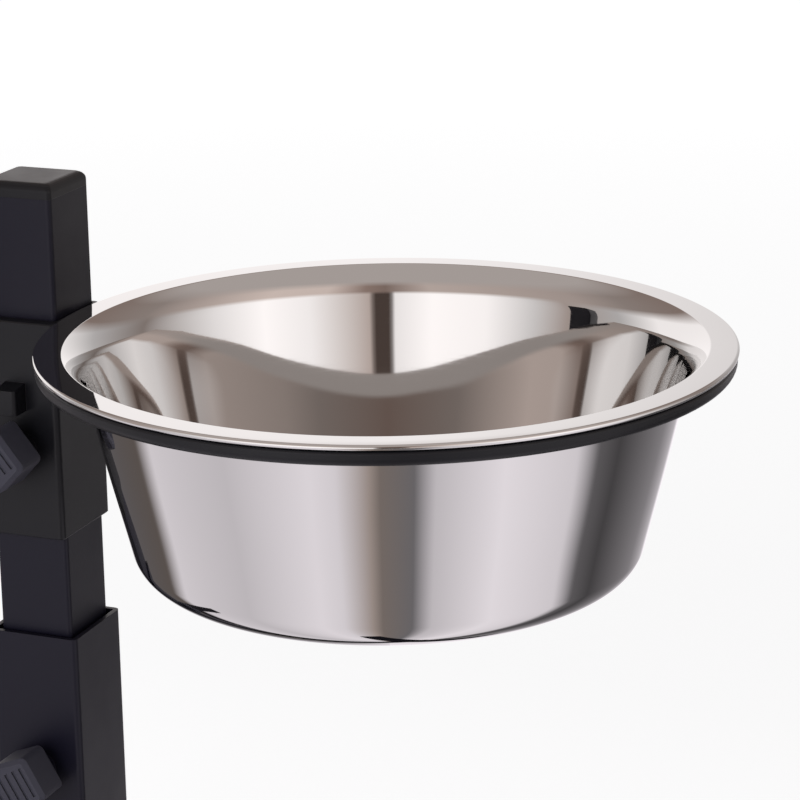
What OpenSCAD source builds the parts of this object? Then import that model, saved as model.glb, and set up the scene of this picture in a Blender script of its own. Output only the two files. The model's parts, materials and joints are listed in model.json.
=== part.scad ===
// Height-adjustable feeder stand: a telescoping column with two lift-out bowls beside it.
// Millimetres, +Z up. The origin is on the floor under the column's axis. The bowls lie along X,
// one on each side, and the clamp knobs face the front, -Y.

/* [Bowls] */
// Outside diameter of the rolled rim
bowl_d = 221; // [190:1:250]
// Depth from the top of the rim to the underside of the floor
bowl_depth = 74; // [60:1:90]
// How far the rim stands out past the wall
rim_reach = 13.1; // [12:0.1:16]
// Width of the rim's flat, with its rolled edge
rim_flat = 8.7; // [7:0.1:10]
// Slope of the wall from upright, in degrees
wall_slope = 13.4; // [8:0.1:18]
// Thickness of the steel
bowl_wall = 0.8; // [0.5:0.1:0.9]
// Outside radius between wall and floor
bowl_corner_r = 11.5; // [6:0.5:18]
// Radius over which the wall flares below the rim
flare_r = 16; // [12:0.5:20]
// Radius of the edge between the flare and the rim's flat
rim_edge_r = 1.1; // [1:0.1:2.5]
// Diameter of the rolled edge
bead_d = 1.8; // [1.8:0.1:2.6]
// Rise of the middle of the floor
floor_crown = 1.2; // [0.5:0.1:2]

/* [Heights] */
// Top of the bowls' rims above the floor
rim_height = 320; // [300:1:380]
// Top of the column above the rims
column_above_rim = 43.7; // [30:0.1:70]
// Top of the outer tube below the rims
outer_below_rim = 111.4; // [108:0.1:130]
// Lower end of the inner tube above the floor
inner_end_height = 58; // [52:1:75]
// Upper clamp's axis below the rims
upper_clamp_drop = 45; // [40:1:50]
// Lower clamp's axis below the top of the outer tube
lower_clamp_drop = 48.6; // [25:0.1:52]

/* [Column] */
// Width of the square inner tube
tube_w = 26.6; // [22:0.1:34]
// Wall of the inner tube
tube_wall = 1.2; // [1:0.1:2.5]
// Corner radius of the inner tube
tube_r = 1.6; // [1:0.1:4]
// Sliding gap round the inner tube, each side
slide_gap = 0.3; // [0.2:0.05:0.5]
// Wall of the guide bush
bush_wall = 1.2; // [1:0.1:2]
// Length of the guide bush
bush_len = 60; // [58:1:75]
// How far the guide bush sits below the top of the outer tube
bush_recess = 2.5; // [1:0.1:5]
// Wall of the outer tube
outer_wall = 1.7; // [1.5:0.1:3]
// Corner radius of the outer tube
outer_r = 2; // [1.5:0.1:6]
// Thickness of the column's top cap
cap_t = 5; // [4.5:0.1:8]
// Rounding of the top cap's edges
cap_r = 2.8; // [1:0.1:4.4]
// Length of the spigots of caps and plugs
spigot_len = 15; // [8:1:25]
// Height of the guide foot under the inner tube
guide_h = 6; // [4:0.5:10]

/* [Collar and rings] */
// Height of the collar
collar_h = 74; // [68:1:76]
// Top of the collar below the rims
collar_below_rim = 1.5; // [0.5:0.1:4]
// Side and back walls of the collar
collar_wall = 1.5; // [1.2:0.1:3]
// Front wall of the collar, which holds the clamp
collar_front_wall = 4.7; // [4:0.1:7]
// Corner radius of the collar
collar_r = 2; // [1.5:0.1:5]
// Bevel round the collar's ends
collar_edge = 0.4; // [0.2:0.1:1.2]
// Gap between the collar and a bowl's rim
rim_gap = 0.6; // [0.5:0.1:6]
// How far the bowls' centres lie in front of the column's axis
bowl_forward = 5; // [2:0.5:6]
// Underside of a ring below the rim
ring_drop = 6.7; // [6.6:0.1:9]
// How far a ring's side lies inside the edge of the rim
ring_inset = 0.5; // [0:0.1:0.8]
// Rounding of a ring's lower edge
ring_edge = 2.4; // [0.5:0.1:2.4]
// Rounding of a ring's upper edge
ring_top_edge = 1; // [0.4:0.1:1]
// Gap under the rim and round the bead
seat_gap = 0.3; // [0.2:0.05:0.5]
// Width of a ring's root on the collar
root_w = 16; // [12:1:18]
// Height of a ring's root on the collar
root_h = 24; // [20:1:30]
// Thickness of a ring's root
root_t = 2.5; // [1.5:0.1:4]
// Thickness of the gusset under a ring
gusset_t = 5; // [3:0.5:8]
// Reach of the gusset out from the collar
gusset_reach = 11; // [6:0.5:12]
// Diameter of the pegs that stake a ring to the collar
peg_d = 4; // [3:0.5:5]
// Distance between the two pegs
peg_pitch = 10; // [8:0.5:12]

/* [Thumb lug] */
// Width of the lug over the upper knob
lug_w = 7.4; // [6:0.1:14]
// Depth of the lug in front of the collar
lug_depth = 7.7; // [4:0.1:8]
// Lower end of the lug above the clamp's axis
lug_rise = 13.5; // [13:0.5:16]
// Height of the lug
lug_h = 9.5; // [9:0.5:20]
// Height of the lug's upright front
lug_front_h = 8.5; // [5:0.5:11]
// Rounding of the lug's front corners
lug_r = 1.5; // [0.5:0.1:2.5]

/* [Clamps] */
// Length of the knob's bar
knob_len = 21.4; // [18:0.1:26]
// Width of the bar at its ends
knob_end_w = 16.5; // [10:0.1:17]
// Width of the bar in the middle
knob_mid_w = 19; // [17.2:0.1:22]
// Depth of the bar, front to back
knob_depth = 13.1; // [10:0.1:18]
// Corner radius of the bar
knob_r = 2.2; // [1.8:0.1:3]
// Bevel round the bar's front
knob_bevel = 1.5; // [0.8:0.1:1.6]
// Tilt of the upper knob at rest, in degrees
upper_tilt = 39; // [0:1:60]
// Tilt of the lower knob at rest, in degrees
lower_tilt = 30; // [0:1:60]
// Distance between the grooves in the knob's front
groove_pitch = 3.1; // [2.6:0.1:4]
// Width of a groove
groove_w = 1.3; // [0.8:0.1:1.6]
// Depth of a groove
groove_depth = 0.7; // [0.3:0.1:1]
// Diameter of the knob's hub
hub_d = 12.5; // [12:0.5:18]
// Length of the knob's hub
hub_len = 2.2; // [1.5:0.1:4]
// Gap between hub and boss
hub_gap = 0.3; // [0.2:0.05:0.6]
// Diameter of the clamp screw
screw_d = 6; // [5:0.5:7]
// Depth of the clamp screw in the knob
screw_grip = 8; // [5:0.5:9]
// Diameter of the screw's tip
tip_d = 4; // [3:0.1:4.4]
// Length of the screw's tip
tip_len = 1; // [0.6:0.1:1.2]
// Running gap round the screw and its tip
thread_gap = 0.05; // [0.02:0.01:0.1]
// Diameter of the pressure pad
pad_d = 11; // [9:0.5:12]
// Thickness of the pressure pad
pad_t = 1.6; // [1.5:0.1:1.7]
// Gap between the pressure pad and the inner tube
pad_gap = 0.1; // [0.05:0.05:0.15]
// Travel of the pressure pad
pad_travel = 1.5; // [1:0.1:1.6]
// Clearance round and behind the pressure pad
pad_clear = 0.3; // [0.2:0.05:0.4]
// Diameter of the bosses that hold the threaded inserts
boss_d = 13.5; // [13.5:0.5:22]
// Height of the boss on the collar
collar_boss_h = 5.7; // [5:0.1:8]
// Height of the boss on the outer tube
tube_boss_h = 4.5; // [4.5:0.1:8]
// Diameter of a threaded insert
insert_d = 9; // [8:0.5:11]
// Length of a threaded insert
insert_len = 4; // [3:0.1:4.2]
// Gap round pieces that are pushed or moulded in
push_gap = 0.02; // [0.01:0.01:0.05]

/* [Base] */
// Length of the rails that stand on the floor
rail_len = 260; // [230:1:340]
// Width of a rail
rail_w = 30; // [26:0.5:40]
// Height of the rails and the crossbar
rail_h = 20; // [20:0.5:28]
// Distance between the middles of the rails
rail_spacing = 300; // [240:1:360]
// Corner radius of the rails and the crossbar
rail_r = 3; // [2.5:0.1:5]
// Wall of the rails and the crossbar
rail_wall = 1.5; // [1:0.1:2]
// Width of the crossbar
crossbar_w = 40; // [38:0.5:50]
// Length of the plugs in the crossbar's ends
crossbar_plug_len = 26; // [24:1:40]
// Thickness of the rails' end caps
end_cap_t = 3; // [2:0.1:5]
// Diameter of a rubber foot at the rail
foot_d = 24; // [20:0.5:26]
// Diameter of a rubber foot at the floor
foot_tread_d = 20; // [18:0.5:20]
// Height of a rubber foot
foot_h = 8; // [7:0.1:14]
// Middle of a foot from the end of its rail
foot_inset = 30; // [30:1:60]
// Diameter of the rail bolts
bolt_d = 5; // [4:0.5:6]
// Distance between the two bolts of a rail
bolt_pitch = 20; // [16:0.5:22]
// Length of the bolts' thread in a plug
bolt_grip = 18; // [10:1:22]
// Diameter of the foot screws and the post screws
small_screw_d = 4; // [3:0.5:4.5]
// Head diameter over shank diameter, for every screw
head_ratio = 1.9; // [1.7:0.1:2]
// Head height over shank diameter, for every screw
head_rise = 0.55; // [0.4:0.05:0.6]
// Gap in the holes that screws pass through
hole_gap = 0.1; // [0.05:0.05:0.2]

/* [Post socket] */
// Wall of the socket round the outer tube
socket_wall = 3.5; // [2.5:0.1:5]
// Height of the socket above its flange
socket_h = 36; // [30:1:50]
// Thickness of the socket's flange
flange_t = 5; // [4:0.1:8]
// Floor of the socket, under the outer tube
socket_floor = 3; // [2:0.1:3.5]
// Length of the flange along the crossbar
flange_len = 88; // [84:1:120]
// Distance of the flange's screws from each end of the flange
flange_inset = 8; // [6:0.5:9]
// Distance between the flange's screws across the crossbar
flange_pitch = 24; // [20:0.5:26]
// Thickness of the ribs on the flange
socket_rib_t = 4; // [3:0.5:6]
// Side screws above the flange
post_screw_rise = 24; // [22:1:26]

/* [Hidden] */
$fn = 64;
arc_steps = 10;
// Least corner radius inside a tube
corner_min = 0.3;
black = "#2a2a2f";
rubber = "#1c1c1e";
steel = "#d5d5d3";
zinc = "#a9adb0";
brass = "#b79a55";

// Half widths, from the inner tube outwards
tube_half = tube_w / 2;
bush_half = tube_half + slide_gap + bush_wall;
outer_half = bush_half + outer_wall;
collar_half = tube_half + slide_gap + collar_wall;
collar_front = tube_half + slide_gap + collar_front_wall;
outer_bore_r = max(outer_r - outer_wall, corner_min);
tube_bore_r = max(tube_r - tube_wall, corner_min);

// Heights
column_top = rim_height + column_above_rim;
inner_top = column_top - cap_t;
outer_top = rim_height - outer_below_rim;
collar_top = rim_height - collar_below_rim;
collar_bottom = collar_top - collar_h;
upper_clamp_z = rim_height - upper_clamp_drop;
lower_clamp_z = outer_top - lower_clamp_drop;
rail_top = foot_h + rail_h;
outer_bottom = rail_top + socket_floor;
socket_top = rail_top + flange_t + socket_h;

// Clamps, as distances in front of the inner tube's front face
recess_end = pad_gap + pad_t + pad_travel + pad_clear;
collar_seat = collar_front - tube_half + collar_boss_h;
tube_seat = outer_half - tube_half + tube_boss_h;

// Bowl, with heights from the top of the rim
bowl_r = bowl_d / 2;
mouth_r = bowl_r - rim_reach;
edge_x = bowl_r - rim_flat;
edge_z = -rim_edge_r;
corner_z = bowl_corner_r - bowl_depth;
corner_x = mouth_r + (corner_z - bowl_corner_r * sin(wall_slope)) * tan(wall_slope)
    - bowl_corner_r * cos(wall_slope);
bowl_x = collar_half + rim_gap + bowl_r;

// Flare: an arc that leaves the wall's inner face smoothly and runs smoothly into the rim's edge
wall_up = [sin(wall_slope), cos(wall_slope)];
wall_out = [cos(wall_slope), -sin(wall_slope)];
flare_base = [mouth_r - bowl_wall / cos(wall_slope), 0] + flare_r * wall_out;
to_edge = [edge_x, edge_z] - flare_base;
edge_along = to_edge * wall_up;
flare_mid = flare_base
    + (edge_along - sqrt(pow(flare_r - rim_edge_r, 2) - to_edge * to_edge + pow(edge_along, 2))) * wall_up;
flare_end = atan2(edge_z - flare_mid[1], edge_x - flare_mid[0]);

// Ring under the rim
ring_in_r = edge_x + seat_gap;
ring_out_r = bowl_r - ring_inset;
shoulder_r = bowl_r - bead_d - seat_gap;
seat_z = -bowl_wall - seat_gap;
ledge_z = -bead_d - seat_gap;

// Base
rail_x = rail_spacing / 2;
rail_mid_z = foot_h + rail_h / 2;
crossbar_len = rail_spacing - rail_w;
foot_y = rail_len / 2 - foot_inset;
bolt_len = rail_w + bolt_grip;
flange_screw_x = flange_len / 2 - flange_inset;
small_head_r = small_screw_d * head_ratio / 2;
small_head_h = small_screw_d * head_rise;

function arc(x, z, r, from, to) =
    [for (i = [0 : arc_steps]) let (a = from + (to - from) * i / arc_steps)
        [x + r * cos(a), z + r * sin(a)]];

// Square with round corners
module round_square(w, d, r) {
    square([w - 2 * r, d], center = true);
    square([w, d - 2 * r], center = true);
    for (x = [-1, 1], y = [-1, 1])
        translate([x * (w / 2 - r), y * (d / 2 - r)]) circle(r);
}

// Hollow square section
module tube_section(w, d, r, wall) {
    difference() {
        round_square(w, d, r);
        round_square(w - 2 * wall, d - 2 * wall, max(r - wall, corner_min));
    }
}

// Faces the front: children drawn upwards point to -Y, from a distance in front of the inner tube
module on_clamp(z, depth) {
    translate([0, -tube_half - depth, z]) rotate([90, 0, 0]) children();
}

// Pan-headed screw: the head's underside is at zero, the shank points down
module pan_screw(d, len) {
    cylinder(d = d * head_ratio, h = d * head_rise);
    translate([0, 0, -len]) cylinder(d = d, h = len);
}

// Base: rails and crossbar

module bolt_holes(r, len) {
    for (y = [-1, 1])
        translate([0, y * bolt_pitch / 2, rail_mid_z])
            rotate([0, 90, 0]) cylinder(r = r, h = len, center = true);
}

module crossbar() {
    color(black) difference() {
        translate([0, 0, rail_mid_z]) rotate([0, 90, 0])
            linear_extrude(crossbar_len, center = true)
                tube_section(rail_h, crossbar_w, rail_r, rail_wall);
        for (x = [-1, 1], y = [-1, 1])
            translate([x * flange_screw_x, y * flange_pitch / 2, rail_top - rail_h / 2])
                cylinder(d = small_screw_d + 2 * hole_gap, h = rail_h);
    }
}

module rail(side) {
    color(black) difference() {
        translate([side * rail_x, 0, rail_mid_z]) rotate([90, 0, 0])
            linear_extrude(rail_len, center = true)
                tube_section(rail_w, rail_h, rail_r, rail_wall);
        translate([side * rail_x, 0, 0]) bolt_holes(bolt_d / 2 + hole_gap, 2 * rail_w);
        for (y = [-1, 1])
            translate([side * rail_x, y * foot_y, foot_h - rail_h / 2])
                cylinder(d = small_screw_d + 2 * hole_gap, h = rail_h);
    }
}

module end_cap(side, end) {
    spigot_w = rail_w - 2 * rail_wall - 2 * push_gap;
    spigot_h = rail_h - 2 * rail_wall - 2 * push_gap;
    color(black) translate([side * rail_x, end * rail_len / 2, rail_mid_z])
        rotate([-90 * end, 0, 0]) {
            hull() for (x = [-1, 1], y = [-1, 1])
                translate([x * (rail_w / 2 - rail_r), y * (rail_h / 2 - rail_r), 0]) {
                    cylinder(r = rail_r, h = end_cap_t - rail_r / 2, $fn = 32);
                    cylinder(r = rail_r / 2, h = end_cap_t, $fn = 32);
                }
            translate([0, 0, -spigot_len]) linear_extrude(spigot_len + end_cap_t / 2)
                tube_section(spigot_w, spigot_h, rail_r - rail_wall, rail_wall - push_gap);
        }
}

module foot(side, end) {
    color(rubber) translate([side * rail_x, end * foot_y, 0]) difference() {
        cylinder(d1 = foot_tread_d, d2 = foot_d, h = foot_h);
        translate([0, 0, -foot_h / 2]) cylinder(r = small_head_r + hole_gap, h = foot_h);
        cylinder(d = small_screw_d + 2 * hole_gap, h = 2 * foot_h);
    }
}

module foot_screws() {
    color(zinc) for (x = [-1, 1], y = [-1, 1])
        translate([x * rail_x, y * foot_y, foot_h / 2]) rotate([180, 0, 0])
            pan_screw(small_screw_d, foot_h / 2 + 3 * rail_wall);
}

module crossbar_plug(side) {
    plug_w = crossbar_w - 2 * rail_wall - 2 * push_gap;
    plug_h = rail_h - 2 * rail_wall - 2 * push_gap;
    plug_x = crossbar_len / 2 - crossbar_plug_len / 2;
    color(rubber) difference() {
        translate([side * plug_x, 0, rail_mid_z]) rotate([0, 90, 0])
            linear_extrude(crossbar_plug_len, center = true)
                round_square(plug_h, plug_w, rail_r - rail_wall);
        translate([side * plug_x, 0, 0]) bolt_holes(bolt_d / 2 + push_gap, 2 * crossbar_plug_len);
    }
}

module rail_bolts() {
    color(zinc) for (side = [-1, 1], y = [-1, 1])
        translate([side * (rail_x + rail_w / 2), y * bolt_pitch / 2, rail_mid_z])
            rotate([0, side * 90, 0]) pan_screw(bolt_d, bolt_len);
}

// Base: socket and outer tube

module post_socket() {
    sleeve_half = outer_half + push_gap + socket_wall;
    rib_foot = flange_screw_x - small_head_r - hole_gap - socket_rib_t / 2;
    color(black) difference() {
        union() {
            translate([0, 0, rail_top]) linear_extrude(flange_t)
                round_square(flange_len, crossbar_w, rail_r);
            translate([0, 0, rail_top]) linear_extrude(flange_t + socket_h)
                round_square(2 * sleeve_half, 2 * sleeve_half, outer_r + socket_wall);
            for (side = [0, 1]) mirror([side, 0, 0])
                translate([0, socket_rib_t / 2, rail_top + flange_t]) rotate([90, 0, 0])
                    linear_extrude(socket_rib_t)
                        polygon([[outer_half + socket_wall / 2, 0], [rib_foot, 0],
                            [sleeve_half, socket_h / 2], [outer_half + socket_wall / 2, socket_h / 2]]);
        }
        translate([0, 0, outer_bottom]) linear_extrude(2 * socket_h)
            round_square(2 * (outer_half + push_gap), 2 * (outer_half + push_gap), outer_r + push_gap);
        for (x = [-1, 1], y = [-1, 1])
            translate([x * flange_screw_x, y * flange_pitch / 2, rail_top - flange_t])
                cylinder(d = small_screw_d + 2 * hole_gap, h = 3 * flange_t);
        post_screw_holes();
    }
}

module post_screw_holes() {
    translate([0, 0, rail_top + flange_t + post_screw_rise]) rotate([0, 90, 0])
        cylinder(d = small_screw_d + 2 * push_gap, h = 4 * outer_half, center = true);
}

module socket_screws() {
    color(zinc) for (x = [-1, 1], y = [-1, 1])
        translate([x * flange_screw_x, y * flange_pitch / 2, rail_top + flange_t])
            pan_screw(small_screw_d, flange_t + 3 * rail_wall);
}

module post_screws() {
    color(zinc) for (side = [-1, 1])
        translate([side * (outer_half + push_gap + socket_wall), 0, rail_top + flange_t + post_screw_rise])
            rotate([0, side * 90, 0]) pan_screw(small_screw_d, socket_wall + push_gap + outer_wall);
}

module outer_tube() {
    color(black) difference() {
        union() {
            translate([0, 0, outer_bottom]) linear_extrude(outer_top - outer_bottom)
                round_square(2 * outer_half, 2 * outer_half, outer_r);
            on_clamp(lower_clamp_z, outer_half - tube_half - outer_wall / 2)
                cylinder(d = boss_d, h = tube_boss_h + outer_wall / 2);
        }
        translate([0, 0, outer_bottom - outer_wall]) linear_extrude(outer_top)
            round_square(2 * bush_half, 2 * bush_half, outer_bore_r);
        clamp_bores(lower_clamp_z, tube_seat);
        post_screw_holes();
    }
}

module guide_bush() {
    bush_out = 2 * (bush_half - push_gap);
    color(rubber) difference() {
        translate([0, 0, outer_top - bush_recess - bush_len]) linear_extrude(bush_len)
            difference() {
                round_square(bush_out, bush_out, outer_bore_r);
                round_square(tube_w + 2 * slide_gap, tube_w + 2 * slide_gap, tube_r + slide_gap);
            }
        clamp_bores(lower_clamp_z, tube_seat);
    }
}

// Column

module inner_tube() {
    color(black) translate([0, 0, inner_end_height]) linear_extrude(inner_top - inner_end_height)
        tube_section(tube_w, tube_w, tube_r, tube_wall);
}

module tube_spigot(len) {
    spigot_w = tube_w - 2 * tube_wall - 2 * push_gap;
    linear_extrude(len) tube_section(spigot_w, spigot_w, tube_bore_r, tube_wall - 2 * push_gap);
}

// Corner of the top cap: posts that rise and draw in along the rounded edge
module cap_corner() {
    cap_steps = 6;
    for (i = [0 : cap_steps])
        translate(-(tube_r + cap_r * (1 - cos(90 * i / cap_steps))) * [1, 1, 0])
            cylinder(r = tube_r, h = cap_t - cap_r * (1 - sin(90 * i / cap_steps)), $fn = 32);
}

module top_cap() {
    color(black) translate([0, 0, inner_top]) {
        hull() for (turn = [0 : 90 : 270])
            rotate(turn) translate([tube_half, tube_half, 0]) cap_corner();
        translate([0, 0, -spigot_len]) tube_spigot(spigot_len + cap_t / 2);
    }
}

module guide_foot() {
    guide_w = 2 * (bush_half - slide_gap);
    color(rubber) translate([0, 0, inner_end_height]) {
        translate([0, 0, -guide_h]) linear_extrude(guide_h)
            round_square(guide_w, guide_w, outer_bore_r);
        translate([0, 0, -guide_h / 2]) tube_spigot(spigot_len + guide_h / 2);
    }
}

// Clamps

module clamp_bores(z, seat) {
    on_clamp(z, 0) cylinder(d = pad_d + 2 * pad_clear, h = recess_end);
    on_clamp(z, 0) cylinder(d = screw_d + 2 * pad_clear, h = seat);
    on_clamp(z, seat - insert_len) cylinder(d = insert_d + 2 * push_gap, h = 2 * insert_len);
}

module insert(z, seat) {
    color(brass) on_clamp(z, seat - insert_len) difference() {
        cylinder(d = insert_d, h = insert_len);
        translate([0, 0, -insert_len]) cylinder(d = screw_d + 2 * thread_gap, h = 3 * insert_len);
    }
}

module pad(z) {
    color(rubber) on_clamp(z, pad_gap) difference() {
        cylinder(d = pad_d, h = pad_t);
        translate([0, 0, pad_t - tip_len - thread_gap])
            cylinder(d = tip_d + 2 * thread_gap, h = pad_t);
    }
}

module clamp_screw(z, seat) {
    shoulder = pad_gap + pad_t + thread_gap;
    color(zinc) {
        on_clamp(z, shoulder) cylinder(d = screw_d, h = seat + hub_gap + screw_grip - shoulder);
        on_clamp(z, shoulder - thread_gap - tip_len)
            cylinder(d = tip_d, h = tip_len + 2 * thread_gap + pad_t / 2);
    }
}

module knob_pillar(x, y) {
    translate([x, y, 0]) {
        cylinder(r = knob_r, h = knob_depth - knob_bevel, $fn = 32);
        cylinder(r = knob_r - knob_bevel, h = knob_depth, $fn = 32);
    }
}

module knob_grooves() {
    groove_len = knob_end_w - 2 * (knob_bevel + groove_w);
    side_count = floor((knob_len / 2 - knob_bevel - groove_w / 2) / groove_pitch + 0.5);
    for (i = [0 : side_count - 1], side = [-1, 1])
        translate([side * (i + 0.5) * groove_pitch, 0, knob_depth])
            cube([groove_w, groove_len, 2 * groove_depth], center = true);
}

module knob(z, seat, tilt) {
    color(black) on_clamp(z, seat + hub_gap) rotate(tilt) difference() {
        union() {
            cylinder(d = hub_d, h = hub_len + knob_depth / 2);
            translate([0, 0, hub_len]) hull() {
                for (x = [-1, 1], y = [-1, 1])
                    knob_pillar(x * (knob_len / 2 - knob_r), y * (knob_end_w / 2 - knob_r));
                for (y = [-1, 1]) knob_pillar(0, y * (knob_mid_w / 2 - knob_r));
            }
        }
        translate([0, 0, hub_len]) knob_grooves();
        translate([0, 0, -hub_len]) cylinder(d = screw_d + 2 * push_gap, h = hub_len + screw_grip);
    }
}

// Collar and rings

module collar_body() {
    translate([0, 0, collar_bottom]) hull()
        for (x = [-1, 1] * (collar_half - collar_r), y = [collar_r - collar_front, collar_half - collar_r])
            translate([x, y, 0]) {
                cylinder(r = collar_r - collar_edge, h = collar_h, $fn = 32);
                translate([0, 0, collar_edge])
                    cylinder(r = collar_r, h = collar_h - 2 * collar_edge, $fn = 32);
            }
}

module thumb_lug() {
    translate([0, -collar_front, upper_clamp_z + lug_rise]) hull() {
        translate([-lug_w / 2, 0, 0]) cube([lug_w, collar_front_wall / 2, lug_h]);
        for (x = [-1, 1])
            translate([x * (lug_w / 2 - lug_r), lug_r - lug_depth, 0])
                cylinder(r = lug_r, h = lug_front_h, $fn = 32);
    }
}

module collar() {
    bore_w = tube_w + 2 * slide_gap;
    color(black) difference() {
        union() {
            collar_body();
            thumb_lug();
            on_clamp(upper_clamp_z, collar_seat - collar_boss_h - collar_front_wall / 2)
                cylinder(d = boss_d, h = collar_boss_h + collar_front_wall / 2);
        }
        translate([0, 0, collar_bottom - collar_h / 2]) linear_extrude(2 * collar_h)
            round_square(bore_w, bore_w, tube_r + slide_gap);
        clamp_bores(upper_clamp_z, collar_seat);
        pegs(peg_d / 2 + push_gap, 4 * collar_half);
    }
}

// Pegs that stake the rings to the collar's sides, each drawn about the collar's middle
module pegs(r, len) {
    for (i = [-1, 1])
        translate([0, -bowl_forward, rim_height + ledge_z - root_h / 2 + i * peg_pitch / 2])
            rotate([0, 90, 0]) cylinder(r = r, h = len, center = true);
}

module ring_root() {
    root_bottom = ledge_z - root_h;
    translate([collar_half, -bowl_forward - root_w / 2, rim_height + root_bottom])
        cube([root_t, root_w, root_h]);
    translate([0, 0, rim_height - ring_drop]) linear_extrude(ring_drop + ledge_z) difference() {
        translate([collar_half, -bowl_forward - root_w / 2])
            square([ring_out_r - ring_in_r, root_w]);
        translate([bowl_x, -bowl_forward]) circle(shoulder_r);
    }
    translate([collar_half, gusset_t / 2 - bowl_forward, rim_height]) rotate([90, 0, 0])
        linear_extrude(gusset_t)
            polygon([[0, -ring_drop], [gusset_reach, -ring_drop], [root_t, root_bottom], [0, root_bottom]]);
}

module ring() {
    translate([bowl_x, -bowl_forward, rim_height]) rotate_extrude($fn = 180)
        polygon(concat([[ring_in_r, -ring_drop]],
            arc(ring_out_r - ring_edge, ring_edge - ring_drop, ring_edge, -90, 0),
            arc(ring_out_r - ring_top_edge, ledge_z - ring_top_edge, ring_top_edge, 0, 90),
            [[shoulder_r, ledge_z], [shoulder_r, seat_z], [ring_in_r, seat_z]]));
    ring_root();
    intersection() {
        pegs(peg_d / 2, 2 * (collar_half + root_t / 2));
        translate([tube_half + slide_gap + push_gap, -bowl_d / 2, 0]) cube([bowl_d, bowl_d, 2 * rim_height]);
    }
}

// Bowls

module bowl() {
    outer_line = concat([[0, floor_crown - bowl_depth]],
        arc(corner_x, corner_z, bowl_corner_r, -90, -wall_slope),
        arc(flare_mid[0], flare_mid[1], flare_r - bowl_wall, 180 - wall_slope, flare_end),
        arc(edge_x, edge_z, rim_edge_r - bowl_wall, flare_end, 90));
    inner_line = concat(arc(edge_x, edge_z, rim_edge_r, 90, flare_end),
        arc(flare_mid[0], flare_mid[1], flare_r, flare_end, 180 - wall_slope),
        arc(corner_x, corner_z, bowl_corner_r - bowl_wall, -wall_slope, -90),
        [[0, floor_crown + bowl_wall - bowl_depth]]);
    bead = arc(bowl_r - bead_d / 2, -bead_d / 2, bead_d / 2, -180, 90);
    color(steel) translate([bowl_x, -bowl_forward, rim_height]) rotate_extrude($fn = 180)
        polygon(concat(outer_line, [[bowl_r - bead_d, -bowl_wall]], bead, inner_line));
}

crossbar();
rail(-1);  // left_rail
rail(1);  // right_rail
end_cap(-1, -1);  // front_left_end_cap
end_cap(1, -1);  // front_right_end_cap
end_cap(-1, 1);  // back_left_end_cap
end_cap(1, 1);  // back_right_end_cap
foot(-1, -1);  // front_left_foot
foot(1, -1);  // front_right_foot
foot(-1, 1);  // back_left_foot
foot(1, 1);  // back_right_foot
foot_screws();
crossbar_plug(-1);  // left_crossbar_plug
crossbar_plug(1);  // right_crossbar_plug
rail_bolts();
post_socket();
socket_screws();
post_screws();
outer_tube();
guide_bush();
insert(lower_clamp_z, tube_seat);  // lower_insert
inner_tube();
top_cap();
guide_foot();
collar();
color(black) ring();  // right_ring
color(black) mirror([1, 0, 0]) ring();  // left_ring
insert(upper_clamp_z, collar_seat);  // upper_insert
pad(lower_clamp_z);  // lower_pad
clamp_screw(lower_clamp_z, tube_seat);  // lower_screw
knob(lower_clamp_z, tube_seat, lower_tilt);  // lower_knob
pad(upper_clamp_z);  // upper_pad
clamp_screw(upper_clamp_z, collar_seat);  // upper_screw
knob(upper_clamp_z, collar_seat, upper_tilt);  // upper_knob
bowl();  // right_bowl
mirror([1, 0, 0]) bowl();  // left_bowl
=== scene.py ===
"""Height-adjustable feeder stand: finishes, polished bowls, studio and camera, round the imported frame."""
import json
import math

import bmesh
import bpy
from mathutils import Matrix, Vector


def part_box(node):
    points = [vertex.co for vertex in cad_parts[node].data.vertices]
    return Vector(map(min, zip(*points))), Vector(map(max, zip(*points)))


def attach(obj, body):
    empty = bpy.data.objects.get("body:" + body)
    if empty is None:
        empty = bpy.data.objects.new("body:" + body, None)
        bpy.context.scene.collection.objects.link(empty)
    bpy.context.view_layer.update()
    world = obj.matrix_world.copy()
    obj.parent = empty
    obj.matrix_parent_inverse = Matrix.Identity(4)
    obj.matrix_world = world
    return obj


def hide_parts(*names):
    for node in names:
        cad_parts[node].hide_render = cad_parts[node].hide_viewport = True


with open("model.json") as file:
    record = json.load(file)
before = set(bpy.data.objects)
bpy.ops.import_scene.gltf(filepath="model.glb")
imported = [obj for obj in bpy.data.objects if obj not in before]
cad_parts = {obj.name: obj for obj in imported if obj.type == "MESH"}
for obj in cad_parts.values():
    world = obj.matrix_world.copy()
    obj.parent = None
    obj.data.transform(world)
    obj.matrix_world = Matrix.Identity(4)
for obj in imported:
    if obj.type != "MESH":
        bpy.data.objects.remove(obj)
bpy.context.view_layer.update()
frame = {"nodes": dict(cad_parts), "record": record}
scene = bpy.context.scene

# Camera, fitted to the photograph: metres, degrees, and the focal length in pixels of its frame
CAMERA_AT = (0.45055, -0.79574, 0.55387)
CAMERA_PITCH = 16.52
CAMERA_YAW = 22.02
CAMERA_ROLL = -0.81
FOCAL_PIXELS = 2820.65
PHOTO_PIXELS = 800
SENSOR_MM = 36.0

# Bowl, in metres and degrees: sizes of the solid that it replaces, and the belly of a drawn wall
BEAD_D = 0.0018
RIM_REACH = 0.0131
RIM_FLAT = 0.0087
WALL_SLOPE = 13.4
SHEET = 0.0008
CORNER_R = 0.0115
FLARE_R = 0.016
RIM_EDGE_R = 0.0011
FLOOR_CROWN = 0.0012
WALL_BELLY = 0.00015
WALL_STEPS = 18
BOWL_STEPS = 288
ARC_STEP = 3.0
MERGE_DISTANCE = 1e-6

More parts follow.
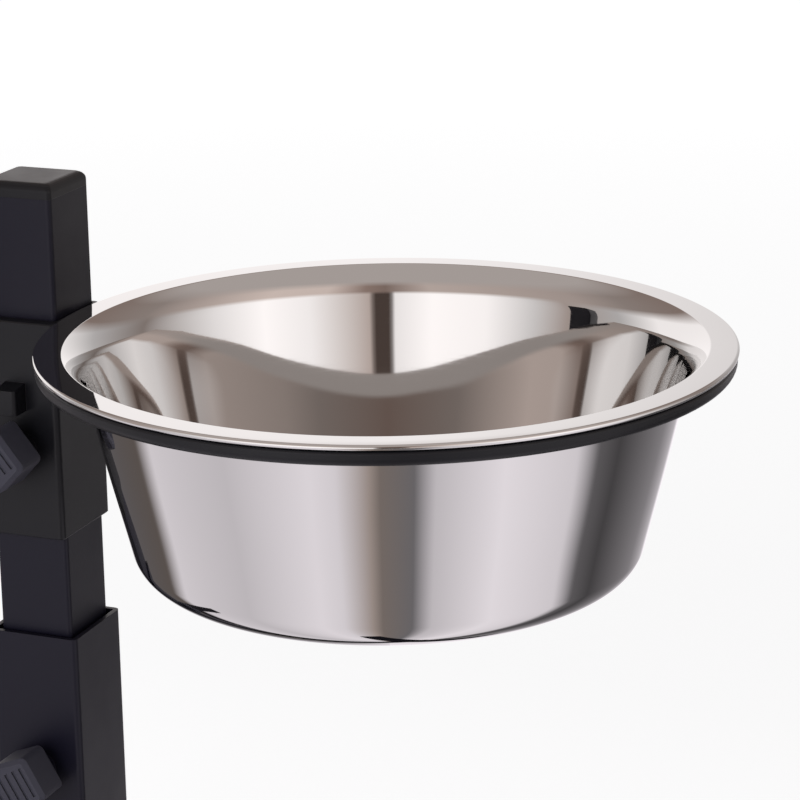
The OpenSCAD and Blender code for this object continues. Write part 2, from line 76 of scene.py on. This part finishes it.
# Moulded finishes: samples and cosines that find an edge, patches per metre, sheen either way
EDGE_SAMPLES = 6
EDGE_COSINES = (0.9, 0.998)
PATCH_WAVES = 45.0
SHEEN_SPREAD = 0.05

# Studio: what the lamps and cards face, and the azimuth that they are set out from
STUDIO_TARGET = Vector((0.126, -0.005, 0.29))
STUDIO_AZIMUTH = 22.3
AMBIENT = 0.22
FLOOR_HALF = 8.0
FLOOR_COLOUR = (0.60, 0.592, 0.60)
FLOOR_LIFT = (0.71, 0.87)
FLOOR_FADE = (0.5, 2.2)

# Lamps: azimuth from the camera's, elevation, distance, width, height and radiance
LAMPS = {
    "left_softbox": (-32, 8, 1.35, 1.3, 1.0, 3.4),
    "right_softbox": (32, 8, 1.35, 1.3, 1.0, 0.3),
    "top_softbox": (180, 75, 1.3, 1.0, 1.0, 1.0),
}

# What reflections show of the studio: stops of azimuth from the camera's, level and tint
PANEL_RADIUS = 1.25
PANEL_STEPS = 96
MIRROR_BOUNCES = 12
PANEL_TOP = (20.5, 28.5)
UPPER_TOP = (42.0, 55.0)
FLOOR_GLOW_Z = 0.0015
WHITE = (1.0, 0.955, 0.95)
COOL = (1.0, 0.94, 0.99)
WARM = (1.0, 0.83, 0.76)
BROWN = (1.0, 0.72, 0.62)
CEILING_COLOUR = (0.55, 0.49, 0.465)
PANEL_GLOW = (
    (-180, 1.2, WHITE), (-135, 1.25, WHITE), (-108, 0.6, WHITE), (-80, 0.5, WARM), (-64, 0.85, WHITE),
    (-43, 1.4, WHITE), (-20, 1.5, WHITE), (-4, 1.2, WHITE), (-2.5, 0.09, BROWN), (5, 0.09, BROWN),
    (7, 0.65, WARM), (32, 1.3, WHITE), (52, 1.5, WHITE), (75, 1.1, WHITE), (113, 0.3, WARM),
    (150, 0.6, WHITE), (180, 1.2, WHITE))
UPPER_GLOW = (
    (-180, 0.27, BROWN), (-120, 0.35, WARM), (-90, 0.5, WARM), (-20, 0.65, WARM), (0, 0.28, BROWN),
    (9, 0.35, BROWN), (25, 0.82, WARM), (52, 0.85, WARM), (117, 0.35, WARM), (180, 0.27, BROWN))
FLOOR_GLOW = (
    (-180, 0.9, COOL), (-148, 0.13, COOL), (-113, 0.14, WARM), (-103, 0.9, COOL), (-65, 0.75, COOL),
    (-30, 1.05, COOL), (-20, 0.95, COOL), (-7, 0.45, WARM), (-3, 0.25, WARM), (10, 0.2, COOL),
    (18, 0.75, COOL), (45, 1.1, COOL), (77, 0.9, COOL), (88, 0.15, COOL), (100, 0.08, COOL),
    (135, 0.28, COOL), (153, 0.55, COOL), (160, 1.05, COOL))


def camera_axes():
    """Right, up and back of the camera, rolled about its own axis."""
    pitch = math.radians(CAMERA_PITCH)
    yaw = math.radians(CAMERA_YAW)
    forward = Vector((-math.sin(yaw) * math.cos(pitch), math.cos(yaw) * math.cos(pitch), -math.sin(pitch)))
    right = Vector((math.cos(yaw), math.sin(yaw), 0))
    up = right.cross(forward)
    roll = math.radians(CAMERA_ROLL)
    rolled_right = right * math.cos(roll) + up * math.sin(roll)
    rolled_up = up * math.cos(roll) - right * math.sin(roll)
    return rolled_right, rolled_up, -forward


def make_camera():
    data = bpy.data.cameras.new("camera")
    data.sensor_width = SENSOR_MM
    data.lens = FOCAL_PIXELS * SENSOR_MM / PHOTO_PIXELS
    camera = bpy.data.objects.new("camera", data)
    scene.collection.objects.link(camera)
    camera.matrix_world = Matrix.Translation(CAMERA_AT) @ Matrix(camera_axes()).transposed().to_4x4()
    scene.camera = camera


def add_mesh(name, mesh):
    """Links a new object that shows the mesh."""
    made = bpy.data.objects.new(name, mesh)
    scene.collection.objects.link(made)
    return made


# Materials


def new_material(name, colour, roughness, metallic=0.0):
    """A material with one shader, whose constants are set here."""
    made = bpy.data.materials.new(name)
    made.use_nodes = True
    shader = made.node_tree.nodes["Principled BSDF"]
    shader.inputs["Base Color"].default_value = (*colour, 1.0)
    shader.inputs["Roughness"].default_value = roughness
    shader.inputs["Metallic"].default_value = metallic
    return made, shader


def add_node(tree, kind, **settings):
    node = tree.nodes.new(kind)
    for key, value in settings.items():
        setattr(node, key, value)
    return node


def noise(tree, scale, detail=2.0, stretch=None):
    """Noise in the piece's own metres: scale is in waves per metre, and stretch scales each axis."""
    place = add_node(tree, "ShaderNodeTexCoord").outputs["Object"]
    if stretch:
        mapping = add_node(tree, "ShaderNodeMapping")
        mapping.inputs["Scale"].default_value = stretch
        tree.links.new(place, mapping.inputs["Vector"])
        place = mapping.outputs["Vector"]
    node = add_node(tree, "ShaderNodeTexNoise")
    node.inputs["Scale"].default_value = scale
    node.inputs["Detail"].default_value = detail
    tree.links.new(place, node.inputs["Vector"])
    return node.outputs["Fac"]


def map_range(tree, value, low, high, start=0.3, end=0.7):
    """The value's start-to-end span, mapped to low-to-high."""
    node = add_node(tree, "ShaderNodeMapRange")
    node.inputs["From Min"].default_value = start
    node.inputs["From Max"].default_value = end
    node.inputs["To Min"].default_value = low
    node.inputs["To Max"].default_value = high
    tree.links.new(value, node.inputs["Value"])
    return node.outputs["Result"]


def mix_colours(tree, factor, first, second):
    node = add_node(tree, "ShaderNodeMix", data_type="RGBA")
    node.inputs["A"].default_value = (*first, 1.0)
    node.inputs["B"].default_value = (*second, 1.0)
    tree.links.new(factor, node.inputs["Factor"])
    return node.outputs["Result"]


def add_bump(tree, shader, height, distance, strength=1.0, below=None):
    """Bump of the given depth in metres, over the normal of another bump where one is given."""
    node = add_node(tree, "ShaderNodeBump")
    node.inputs["Distance"].default_value = distance
    node.inputs["Strength"].default_value = strength
    tree.links.new(height, node.inputs["Height"])
    if below:
        tree.links.new(below, node.inputs["Normal"])
    tree.links.new(node.outputs["Normal"], shader.inputs["Normal"])
    return node.outputs["Normal"]


def rounded_edges(tree, radius):
    """A normal that is rounded over each edge, and a mask that is 1 on those edges."""
    bevel = add_node(tree, "ShaderNodeBevel", samples=EDGE_SAMPLES)
    bevel.inputs["Radius"].default_value = radius
    face = add_node(tree, "ShaderNodeNewGeometry")
    dot = add_node(tree, "ShaderNodeVectorMath", operation="DOT_PRODUCT")
    tree.links.new(bevel.outputs["Normal"], dot.inputs[0])
    tree.links.new(face.outputs["Normal"], dot.inputs[1])
    mask = map_range(tree, dot.outputs["Value"], 1.0, 0.0, *EDGE_COSINES)
    return bevel.outputs["Normal"], mask


def moulded(name, colour, painted_edge_highlight, roughness, specular, grain, depth, edge_radius):
    """Moulded or coated surface: fine grain, uneven sheen, and edges rounded in shading and painted paler
    as a painted edge highlight.
    """
    made, shader = new_material(name, colour, roughness)
    shader.inputs["Specular IOR Level"].default_value = specular
    tree = made.node_tree
    normal, edge = rounded_edges(tree, edge_radius)
    patches = noise(tree, PATCH_WAVES, detail=4.0)
    # Painted edge highlight: the edges are mixed towards a paler colour, in uneven patches
    edge_highlight_mask = add_node(tree, "ShaderNodeMath", operation="MULTIPLY")
    tree.links.new(edge, edge_highlight_mask.inputs[0])
    tree.links.new(map_range(tree, patches, 0.25, 1.0), edge_highlight_mask.inputs[1])
    tree.links.new(mix_colours(tree, edge_highlight_mask.outputs["Value"], colour, painted_edge_highlight), shader.inputs["Base Color"])
    sheen = map_range(tree, patches, roughness - SHEEN_SPREAD, roughness + SHEEN_SPREAD)
    tree.links.new(sheen, shader.inputs["Roughness"])
    add_bump(tree, shader, noise(tree, grain, detail=3.0), depth, strength=0.6, below=normal)
    return made


# The second colour of each moulded finish is its painted edge highlight
def coated_steel():
    return moulded("coated_steel", (0.0065, 0.006, 0.0125), (0.010, 0.010, 0.016),
                   roughness=0.40, specular=0.23, grain=900.0, depth=0.00002, edge_radius=0.0002)


def black_plastic():
    return moulded("black_plastic", (0.006, 0.006, 0.008), (0.010, 0.010, 0.012),
                   roughness=0.38, specular=0.26, grain=2200.0, depth=0.00002, edge_radius=0.0002)


def knob_plastic():
    return moulded("knob_plastic", (0.042, 0.041, 0.056), (0.08, 0.08, 0.095),
                   roughness=0.60, specular=0.25, grain=2400.0, depth=0.00002, edge_radius=0.0003)


def nylon():
    return moulded("nylon", (0.012, 0.012, 0.014), (0.03, 0.03, 0.032),
                   roughness=0.50, specular=0.50, grain=1600.0, depth=0.00002, edge_radius=0.0004)


def foot_rubber():
    return moulded("foot_rubber", (0.02, 0.02, 0.02), (0.035, 0.034, 0.033),
                   roughness=0.78, specular=0.35, grain=1300.0, depth=0.00006, edge_radius=0.0006)


def zinc_steel():
    """Zinc plate: pale spangle with a faint blue and yellow tint."""
    made, shader = new_material("zinc_steel", (0.6, 0.61, 0.62), 0.32, metallic=1.0)
    tree = made.node_tree
    tint = mix_colours(tree, noise(tree, 260.0, detail=3.0), (0.55, 0.58, 0.64), (0.66, 0.64, 0.57))
    tree.links.new(tint, shader.inputs["Base Color"])
    tree.links.new(map_range(tree, noise(tree, 700.0), 0.24, 0.42), shader.inputs["Roughness"])
    return made


def brass():
    """Turned brass: rings across the bore's axis."""
    made, shader = new_material("brass", (0.7, 0.55, 0.28), 0.28, metallic=1.0)
    tree = made.node_tree
    rings = noise(tree, 1.0, detail=1.0, stretch=(60.0, 6000.0, 60.0))
    tree.links.new(map_range(tree, rings, 0.2, 0.4), shader.inputs["Roughness"])
    add_bump(tree, shader, rings, 0.00003, strength=0.5)
    return made


def stainless():
    """Mirror-polished stainless steel: rings of very fine polishing lines and a slightly wavy sheet."""
    made, shader = new_material("stainless", (0.66, 0.655, 0.65), 0.03, metallic=1.0)
    tree = made.node_tree
    place = add_node(tree, "ShaderNodeTexCoord").outputs["Object"]
    axes = add_node(tree, "ShaderNodeSeparateXYZ")
    tree.links.new(place, axes.inputs["Vector"])
    across = add_node(tree, "ShaderNodeCombineXYZ")
    tree.links.new(axes.outputs["X"], across.inputs["X"])
    tree.links.new(axes.outputs["Y"], across.inputs["Y"])
    radius = add_node(tree, "ShaderNodeVectorMath", operation="LENGTH")
    tree.links.new(across.outputs["Vector"], radius.inputs[0])
    section = add_node(tree, "ShaderNodeCombineXYZ")
    tree.links.new(radius.outputs["Value"], section.inputs["X"])
    tree.links.new(axes.outputs["Z"], section.inputs["Y"])
    lines = add_node(tree, "ShaderNodeTexNoise")
    lines.inputs["Scale"].default_value = 2600.0
    lines.inputs["Detail"].default_value = 3.0
    tree.links.new(section.outputs["Vector"], lines.inputs["Vector"])
    tree.links.new(map_range(tree, lines.outputs["Fac"], 0.015, 0.045), shader.inputs["Roughness"])
    add_bump(tree, shader, noise(tree, 16.0, detail=1.0), 0.0006, strength=0.5)
    return made


MATERIALS = {
    "coated_steel": coated_steel(),
    "black_plastic": black_plastic(),
    "knob_plastic": knob_plastic(),
    "foot_rubber": foot_rubber(),
    "nylon": nylon(),
    "zinc_steel": zinc_steel(),
    "brass": brass(),
    "stainless": stainless(),
}


def dress_nodes():
    """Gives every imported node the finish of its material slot."""
    for part in frame["record"]["subparts"]:
        mesh = frame["nodes"][part["node"]].data
        mesh.materials.clear()
        mesh.materials.append(MATERIALS[part["material_slot"]])


# Bowls


def arc(x, z, radius, start, end):
    """Points of an arc in the bowl's section, start and end included."""
    steps = max(2, math.ceil(abs(end - start) / ARC_STEP))
    angles = [math.radians(start + (end - start) * i / steps) for i in range(steps + 1)]
    return [(x + radius * math.cos(a), z + radius * math.sin(a)) for a in angles]


def belly(low, high):
    """Points between the ends of the wall, bowed outwards a little."""
    foot = Vector(low)
    run = Vector(high) - foot
    out = Vector((run.y, -run.x)).normalized()
    shares = [i / WALL_STEPS for i in range(1, WALL_STEPS)]
    return [tuple(foot + run * t + out * (WALL_BELLY * math.sin(math.pi * t) ** 2)) for t in shares]


def bowl_section(rim_r, depth):
    """Half section of the drawn bowl, from underneath round the rolled rim to the inside."""
    slope = math.radians(WALL_SLOPE)
    mouth_r = rim_r - RIM_REACH
    edge = Vector((rim_r - RIM_FLAT, -RIM_EDGE_R))
    wall_up = Vector((math.sin(slope), math.cos(slope)))
    wall_out = Vector((math.cos(slope), -math.sin(slope)))
    flare = Vector((mouth_r - SHEET / math.cos(slope), 0)) + wall_out * FLARE_R
    to_edge = edge - flare
    along = to_edge.dot(wall_up)
    flare += wall_up * (along - math.sqrt((FLARE_R - RIM_EDGE_R) ** 2 - to_edge.dot(to_edge) + along ** 2))
    flare_end = math.degrees(math.atan2(edge.y - flare.y, edge.x - flare.x))
    corner_z = CORNER_R - depth
    corner_x = (mouth_r + (corner_z - CORNER_R * math.sin(slope)) * math.tan(slope)
                - CORNER_R * math.cos(slope))
    corner = arc(corner_x, corner_z, CORNER_R, -90, -WALL_SLOPE)
    spread = arc(*flare, FLARE_R - SHEET, 180 - WALL_SLOPE, flare_end)
    underneath = [(0.0, FLOOR_CROWN - depth)]
    underneath += corner + belly(corner[-1], spread[0]) + spread
    underneath += arc(*edge, RIM_EDGE_R - SHEET, flare_end, 90)
    underneath += [(rim_r - BEAD_D, -SHEET)]
    bead = arc(rim_r - BEAD_D / 2, -BEAD_D / 2, BEAD_D / 2, -180, 90)
    inner_corner = arc(corner_x, corner_z, CORNER_R - SHEET, -WALL_SLOPE, -90)
    inner_spread = arc(*flare, FLARE_R, flare_end, 180 - WALL_SLOPE)
    inside = arc(*edge, RIM_EDGE_R, 90, flare_end)
    inside += inner_spread + belly(inner_corner[0], inner_spread[-1])[::-1] + inner_corner
    inside += [(0.0, FLOOR_CROWN + SHEET - depth)]
    return underneath + bead + inside


def make_bowl(node):
    """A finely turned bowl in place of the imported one."""
    low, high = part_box(node)
    rim_r = (high.x - low.x) / 2
    section = bowl_section(rim_r, high.z - low.z)
    made = bmesh.new()
    points = [made.verts.new((x, 0, z)) for x, z in section]
    edges = [made.edges.new(pair) for pair in zip(points, points[1:])]
    bmesh.ops.spin(made, geom=points + edges, cent=(0, 0, 0), axis=(0, 0, 1), angle=2 * math.pi,
                   steps=BOWL_STEPS, use_merge=True)
    bmesh.ops.remove_doubles(made, verts=made.verts, dist=MERGE_DISTANCE)
    bmesh.ops.recalc_face_normals(made, faces=made.faces)
    for face in made.faces:
        face.smooth = True
    mesh = bpy.data.meshes.new(node + "_polished")
    made.to_mesh(mesh)
    made.free()
    mesh.materials.append(MATERIALS["stainless"])
    bowl = add_mesh(node + "_polished", mesh)
    bowl.location = ((low.x + high.x) / 2, (low.y + high.y) / 2, high.z)
    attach(bowl, node)
    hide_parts(node)


# Studio


def around(azimuth, elevation, distance):
    """A point seen from the studio's target, with azimuths counted from the camera's."""
    a = math.radians(STUDIO_AZIMUTH + azimuth)
    e = math.radians(elevation)
    away = Vector((math.sin(a) * math.cos(e), -math.cos(a) * math.cos(e), math.sin(e)))
    return STUDIO_TARGET + away * distance


def softbox(name, azimuth, elevation, distance, width, height, radiance):
    """A soft lamp that faces the target; reflections show the panels below in its place."""
    data = bpy.data.lights.new(name, "AREA")
    data.shape = "RECTANGLE"
    data.size = width
    data.size_y = height
    data.energy = radiance * math.pi * width * height
    lamp = bpy.data.objects.new(name, data)
    scene.collection.objects.link(lamp)
    lamp.location = around(azimuth, elevation, distance)
    lamp.rotation_euler = (STUDIO_TARGET - lamp.location).to_track_quat("-Z", "Y").to_euler()
    lamp.visible_glossy = False


def glow_ramp(tree, turn, stops):
    """Colours round the studio: each stop is an azimuth, a level and a tint."""
    ramp = add_node(tree, "ShaderNodeValToRGB")
    tree.links.new(turn, ramp.inputs["Fac"])
    points = ramp.color_ramp.elements
    while len(points) > 1:
        points.remove(points[0])
    for i, (azimuth, level, tint) in enumerate(stops):
        place = azimuth / 360 + 0.5
        point = points[0] if i == 0 else points.new(place)
        point.position = place
        point.color = (*(level * part for part in tint), 1.0)
    return ramp.outputs["Color"]


def blend(tree, factor, first, second):
    node = add_node(tree, "ShaderNodeMix", data_type="RGBA")
    tree.links.new(factor, node.inputs["Factor"])
    tree.links.new(first, node.inputs["A"])
    tree.links.new(second, node.inputs["B"])
    return node.outputs["Result"]


def glow_material(name):
    """A material that only glows, and the turn round its own upright axis."""
    made = bpy.data.materials.new(name)
    made.use_nodes = True
    made.cycles.emission_sampling = "NONE"
    tree = made.node_tree
    tree.nodes.clear()
    place = add_node(tree, "ShaderNodeTexCoord").outputs["Object"]
    turn = add_node(tree, "ShaderNodeTexGradient", gradient_type="RADIAL")
    tree.links.new(place, turn.inputs["Vector"])
    glow = add_node(tree, "ShaderNodeEmission")
    out = add_node(tree, "ShaderNodeOutputMaterial")
    tree.links.new(glow.outputs["Emission"], out.inputs["Surface"])
    return made, tree, turn.outputs["Fac"], glow


def show_in_reflections(mesh, name, material, location):
    """Stands a piece of the studio so that only reflections show it, its own X towards the camera."""
    mesh.materials.append(material)
    made = add_mesh(name, mesh)
    made.location = location
    made.rotation_euler.z = math.radians(STUDIO_AZIMUTH - 90)
    made.visible_camera = False
    made.visible_diffuse = False
    made.visible_shadow = False


def make_panels():
    """Bright panels with dark gaps round the stand, and a warm ceiling over them."""
    made, tree, turn, glow = glow_material("panels")
    axes = add_node(tree, "ShaderNodeSeparateXYZ")
    tree.links.new(add_node(tree, "ShaderNodeTexCoord").outputs["Object"], axes.inputs["Vector"])
    height = axes.outputs["Z"]
    low, high = (PANEL_RADIUS * math.sin(math.radians(e)) for e in PANEL_TOP)
    colour = blend(tree, map_range(tree, height, 0.0, 1.0, low, high),
                   glow_ramp(tree, turn, PANEL_GLOW), glow_ramp(tree, turn, UPPER_GLOW))
    low, high = (PANEL_RADIUS * math.sin(math.radians(e)) for e in UPPER_TOP)
    ceiling = add_node(tree, "ShaderNodeRGB")
    ceiling.outputs["Color"].default_value = (*CEILING_COLOUR, 1.0)
    colour = blend(tree, map_range(tree, height, 0.0, 1.0, low, high), colour, ceiling.outputs["Color"])
    tree.links.new(colour, glow.inputs["Color"])
    dome = bmesh.new()
    bmesh.ops.create_uvsphere(dome, u_segments=PANEL_STEPS, v_segments=PANEL_STEPS // 2,
                              radius=PANEL_RADIUS)
    under = [v for v in dome.verts if v.co.z < -STUDIO_TARGET.z]
    bmesh.ops.delete(dome, geom=under, context="VERTS")
    mesh = bpy.data.meshes.new("panels")
    dome.to_mesh(mesh)
    dome.free()
    show_in_reflections(mesh, "panels", made, STUDIO_TARGET)


def make_floor_glow():
    """What the bowls' outsides mirror of the floor: bright sweeps with dark gaps between them."""
    made, tree, turn, glow = glow_material("floor_glow")
    tree.links.new(glow_ramp(tree, turn, FLOOR_GLOW), glow.inputs["Color"])
    disc = bmesh.new()
    bmesh.ops.create_circle(disc, cap_ends=True, segments=PANEL_STEPS, radius=PANEL_RADIUS)
    mesh = bpy.data.meshes.new("floor_glow")
    disc.to_mesh(mesh)
    disc.free()
    show_in_reflections(mesh, "floor_glow", made, (STUDIO_TARGET.x, STUDIO_TARGET.y, FLOOR_GLOW_Z))


def shown_rays(tree):
    """1 for camera, glossy and transmission rays, else 0."""
    path = add_node(tree, "ShaderNodeLightPath")
    first = add_node(tree, "ShaderNodeMath", operation="MAXIMUM")
    tree.links.new(path.outputs["Is Camera Ray"], first.inputs[0])
    tree.links.new(path.outputs["Is Glossy Ray"], first.inputs[1])
    both = add_node(tree, "ShaderNodeMath", operation="MAXIMUM")
    tree.links.new(first.outputs["Value"], both.inputs[0])
    tree.links.new(path.outputs["Is Transmission Ray"], both.inputs[1])
    return both.outputs["Value"]


def make_world():
    """White where it is seen, and a plain level of light elsewhere."""
    world = bpy.data.worlds.new("studio")
    scene.world = world
    world.use_nodes = True
    tree = world.node_tree
    background = tree.nodes["Background"]
    background.inputs["Color"].default_value = (1.0, 1.0, 1.0, 1.0)
    strength = map_range(tree, shown_rays(tree), AMBIENT, 1.0, 0.0, 1.0)
    tree.links.new(strength, background.inputs["Strength"])


def make_floor():
    """Pale floor that keeps the shadow and is lifted towards white where it is seen, more so far off."""
    mesh = bpy.data.meshes.new("floor")
    corners = [(-FLOOR_HALF, -FLOOR_HALF, 0), (FLOOR_HALF, -FLOOR_HALF, 0),
               (FLOOR_HALF, FLOOR_HALF, 0), (-FLOOR_HALF, FLOOR_HALF, 0)]
    mesh.from_pydata(corners, [], [(0, 1, 2, 3)])
    made, shader = new_material("floor", FLOOR_COLOUR, 0.9)
    tree = made.node_tree
    shader.inputs["Specular IOR Level"].default_value = 0.0
    shader.inputs["Emission Color"].default_value = (1.0, 1.0, 1.0, 1.0)
    away = add_node(tree, "ShaderNodeVectorMath", operation="LENGTH")
    tree.links.new(add_node(tree, "ShaderNodeTexCoord").outputs["Object"], away.inputs[0])
    lift = add_node(tree, "ShaderNodeMath", operation="MULTIPLY")
    tree.links.new(shown_rays(tree), lift.inputs[0])
    tree.links.new(map_range(tree, away.outputs["Value"], *FLOOR_LIFT, *FLOOR_FADE), lift.inputs[1])
    tree.links.new(lift.outputs["Value"], shader.inputs["Emission Strength"])
    mesh.materials.append(made)
    add_mesh("floor", mesh)


def make_studio():
    make_world()
    make_floor()
    make_floor_glow()
    make_panels()
    for name, settings in LAMPS.items():
        softbox(name, *settings)


make_camera()
dress_nodes()
for bowl_node in ("right_bowl", "left_bowl"):
    make_bowl(bowl_node)
make_studio()
scene.cycles.glossy_bounces = MIRROR_BOUNCES
scene.view_settings.view_transform = "Standard"
